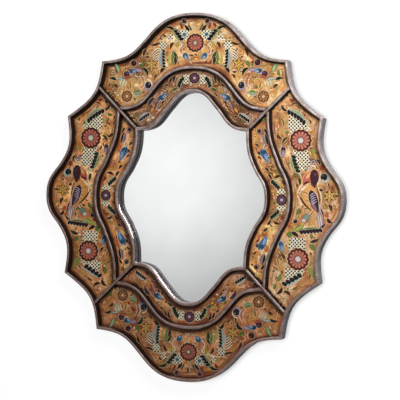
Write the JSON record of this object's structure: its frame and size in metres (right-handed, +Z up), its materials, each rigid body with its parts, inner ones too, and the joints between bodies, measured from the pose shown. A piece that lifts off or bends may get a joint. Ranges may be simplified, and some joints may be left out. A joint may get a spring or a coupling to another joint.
{
  "type": "reverse painted glass mirror",
  "caption": "Scalloped wall mirror whose wooden frame carries painted glass panels between raised silver-leaf mouldings, with strap hangers behind.",
  "frame": {"origin": "middle of the back board's rear face, on the plane that lies against the wall", "axes": "+Z up, +X to the right seen from the front, +Y into the wall; the mirror faces -Y"},
  "size_m": [0.7, 0.0428, 0.826],
  "materials": {
    "stained_wood": "dark stain, open back",
    "painted_glass": "gold ground with painted flowers, leaves and birds on the back of clear glass",
    "silver_leaf": "antiqued silver leaf over carved wood",
    "silvered_glass": "silvered float glass",
    "hardboard": "raw hardboard",
    "screw_steel": "zinc passivated",
    "zinc_plate": "bright zinc plate"
  },
  "bodies": {
    "frame": {"rail_top": "stained_wood", "rail_right": "stained_wood", "rail_bottom": "stained_wood", "rail_left": "stained_wood", "glass_outer_top": "painted_glass", "glass_inner_top": "painted_glass", "glass_outer_right": "painted_glass", "glass_inner_right": "painted_glass", "glass_outer_bottom": "painted_glass", "glass_inner_bottom": "painted_glass", "glass_outer_left": "painted_glass", "glass_inner_left": "painted_glass", "rim_top": "silver_leaf", "mid_moulding_top": "silver_leaf", "inner_moulding_top": "silver_leaf", "rim_right": "silver_leaf", "mid_moulding_right": "silver_leaf", "inner_moulding_right": "silver_leaf", "rim_bottom": "silver_leaf", "mid_moulding_bottom": "silver_leaf", "inner_moulding_bottom": "silver_leaf", "rim_left": "silver_leaf", "mid_moulding_left": "silver_leaf", "inner_moulding_left": "silver_leaf", "rim_scallop_top_left": "silver_leaf", "mitre_moulding_top_left": "silver_leaf", "rim_scallop_top_right": "silver_leaf", "mitre_moulding_top_right": "silver_leaf", "rim_scallop_bottom_left": "silver_leaf", "mitre_moulding_bottom_left": "silver_leaf", "rim_scallop_bottom_right": "silver_leaf", "mitre_moulding_bottom_right": "silver_leaf", "mirror_glass": "silvered_glass", "back_board": "hardboard", "board_screw_1": "screw_steel", "board_screw_2": "screw_steel", "board_screw_3": "screw_steel", "board_screw_4": "screw_steel", "board_screw_5": "screw_steel", "board_screw_6": "screw_steel", "board_screw_7": "screw_steel", "board_screw_8": "screw_steel", "hanger_screw_1": "screw_steel", "hanger_screw_2": "screw_steel", "hanger_screw_3": "screw_steel", "hanger_screw_4": "screw_steel", "hanger_strap_left": "zinc_plate", "hanger_strap_right": "zinc_plate"},
    "ring_left": {"d_ring_left": "zinc_plate"},
    "ring_right": {"d_ring_right": "zinc_plate"}
  },
  "joints": [
    {"name": "ring_left_swing", "type": "hinge", "parent": "frame", "child": "ring_left", "pos_m": [-0.2605, 0.0034, 0.105], "axis": [1, 0, 0], "range_deg": [0, 180]},
    {"name": "ring_right_swing", "type": "hinge", "parent": "frame", "child": "ring_right", "pos_m": [0.2605, 0.0034, 0.105], "axis": [1, 0, 0], "range_deg": [0, 180]}
  ]
}
